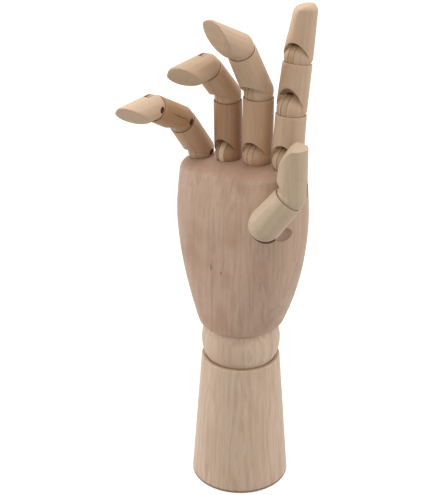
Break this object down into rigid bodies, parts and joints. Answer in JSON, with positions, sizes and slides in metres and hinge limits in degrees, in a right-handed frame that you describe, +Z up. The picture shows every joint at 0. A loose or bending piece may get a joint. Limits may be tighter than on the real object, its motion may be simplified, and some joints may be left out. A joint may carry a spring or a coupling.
{
  "type": "jointed wooden artist hand",
  "caption": "Jointed wooden hand with hinged fingers and thumb on a sprung wrist ball and a tapered turned stand, posed by hand for drawing and display.",
  "frame": {"origin": "centre of the stand's flat underside", "axes": "+Z up along the stand towards the fingers, -Y out of the palm's face, +X towards the thumb"},
  "size_m": [0.0963, 0.1, 0.309],
  "materials": {
    "palm_wood": "sanded bare wood, satin",
    "finger_wood": "sanded bare wood, satin",
    "stand_wood": "turned and sanded wood, satin",
    "tongue_wood": "plain wood",
    "pin_wood": "end grain, dark",
    "steel": "bright drawn wire"
  },
  "bodies": {
    "base": {"base": "stand_wood", "base_plug": "stand_wood"},
    "wrist_swivel": {"spring_bar": "steel", "wrist_spring": "steel"},
    "wrist_ball": {"wrist_ball": "stand_wood"},
    "palm": {"palm": "palm_wood", "screw_eye": "steel", "thumb_base_peg": "pin_wood", "little_knuckle_tongue": "tongue_wood", "ring_knuckle_tongue": "tongue_wood", "middle_knuckle_tongue": "tongue_wood", "index_knuckle_tongue": "tongue_wood"},
    "little_proximal": {"little_proximal": "finger_wood", "little_knuckle_pin": "pin_wood", "little_middle_tongue": "tongue_wood"},
    "little_middle": {"little_middle": "finger_wood", "little_middle_pin": "pin_wood", "little_tip_tongue": "tongue_wood"},
    "little_distal": {"little_distal": "finger_wood", "little_tip_pin": "pin_wood"},
    "ring_proximal": {"ring_proximal": "finger_wood", "ring_knuckle_pin": "pin_wood", "ring_middle_tongue": "tongue_wood"},
    "ring_middle": {"ring_middle": "finger_wood", "ring_middle_pin": "pin_wood", "ring_tip_tongue": "tongue_wood"},
    "ring_distal": {"ring_distal": "finger_wood", "ring_tip_pin": "pin_wood"},
    "middle_proximal": {"middle_proximal": "finger_wood", "middle_knuckle_pin": "pin_wood", "middle_middle_tongue": "tongue_wood"},
    "middle_middle": {"middle_middle": "finger_wood", "middle_middle_pin": "pin_wood", "middle_tip_tongue": "tongue_wood"},
    "middle_distal": {"middle_distal": "finger_wood", "middle_tip_pin": "pin_wood"},
    "index_proximal": {"index_proximal": "finger_wood", "index_knuckle_pin": "pin_wood", "index_middle_tongue": "tongue_wood"},
    "index_middle": {"index_middle": "finger_wood", "index_middle_pin": "pin_wood", "index_tip_tongue": "tongue_wood"},
    "index_distal": {"index_distal": "finger_wood", "index_tip_pin": "pin_wood"},
    "thumb_proximal": {"thumb_proximal": "finger_wood", "thumb_tip_tongue": "tongue_wood"},
    "thumb_distal": {"thumb_distal": "finger_wood", "thumb_tip_pin": "pin_wood"}
  },
  "joints": [
    {"name": "wrist_turn", "type": "hinge", "parent": "base", "child": "wrist_swivel", "pos_m": [0, 0, 0.097], "axis": [0, 0, 1], "range_deg": [-90, 90]},
    {"name": "wrist_bend", "type": "hinge", "parent": "wrist_swivel", "child": "wrist_ball", "pos_m": [0, 0, 0.097], "axis": [1, 0, 0], "range_deg": [-20, 20], "deforming": ["wrist_spring"]},
    {"name": "wrist_tilt", "type": "hinge", "parent": "wrist_ball", "child": "palm", "pos_m": [0, 0, 0.097], "axis": [0, 1, 0], "range_deg": [-20, 20], "deforming": ["wrist_spring"]},
    {"name": "little_knuckle_bend", "type": "hinge", "parent": "palm", "child": "little_proximal", "pos_m": [-0.03075, 0.001, 0.213], "axis": [1, 0, 0], "range_deg": [-49.5, 18.5]},
    {"name": "little_middle_bend", "type": "hinge", "parent": "little_proximal", "child": "little_middle", "pos_m": [-0.03075, -0.01757, 0.2372], "axis": [1, 0, 0], "range_deg": [-32.5, 49.5]},
    {"name": "little_tip_bend", "type": "hinge", "parent": "little_middle", "child": "little_distal", "pos_m": [-0.03075, -0.04268, 0.2517], "axis": [1, 0, 0], "range_deg": [-38, 28]},
    {"name": "ring_knuckle_bend", "type": "hinge", "parent": "palm", "child": "ring_proximal", "pos_m": [-0.01095, 0.001, 0.21628], "axis": [1, 0, 0], "range_deg": [-14, 54]},
    {"name": "ring_middle_bend", "type": "hinge", "parent": "ring_proximal", "child": "ring_middle", "pos_m": [-0.01095, -0.00023, 0.25156], "axis": [1, 0, 0], "range_deg": [-50, 32]},
    {"name": "ring_tip_bend", "type": "hinge", "parent": "ring_middle", "child": "ring_distal", "pos_m": [-0.01095, -0.0199, 0.27341], "axis": [1, 0, 0], "range_deg": [-57, 9]},
    {"name": "middle_knuckle_bend", "type": "hinge", "parent": "palm", "child": "middle_proximal", "pos_m": [0.00965, 0.001, 0.21889], "axis": [1, 0, 0], "range_deg": [-12, 56]},
    {"name": "middle_middle_bend", "type": "hinge", "parent": "middle_proximal", "child": "middle_middle", "pos_m": [0.00965, 0.001, 0.25739], "axis": [1, 0, 0], "range_deg": [-41, 41]},
    {"name": "middle_tip_bend", "type": "hinge", "parent": "middle_middle", "child": "middle_distal", "pos_m": [0.00965, -0.01713, 0.28756], "axis": [1, 0, 0], "range_deg": [-39, 27]},
    {"name": "index_knuckle_bend", "type": "hinge", "parent": "palm", "child": "index_proximal", "pos_m": [0.03025, 0.001, 0.22083], "axis": [1, 0, 0], "range_deg": [-7, 61]},
    {"name": "index_middle_bend", "type": "hinge", "parent": "index_proximal", "child": "index_middle", "pos_m": [0.03025, 0.00365, 0.25112], "axis": [1, 0, 0], "range_deg": [-4.5, 77.5]},
    {"name": "index_tip_bend", "type": "hinge", "parent": "index_middle", "child": "index_distal", "pos_m": [0.03025, 0.00888, 0.27934], "axis": [1, 0, 0], "range_deg": [-9.5, 56.5]},
    {"name": "thumb_base_spread", "type": "hinge", "parent": "palm", "child": "thumb_proximal", "pos_m": [0.0299, -0.01722, 0.1909], "axis": [-0.4695, 0.8829, 0], "range_deg": [-1, 35]},
    {"name": "thumb_tip_straighten", "type": "hinge", "parent": "thumb_proximal", "child": "thumb_distal", "pos_m": [0.04567, -0.0166, 0.20923], "axis": [-0.4695, 0.8829, 0], "range_deg": [-20, 34]}
  ]
}
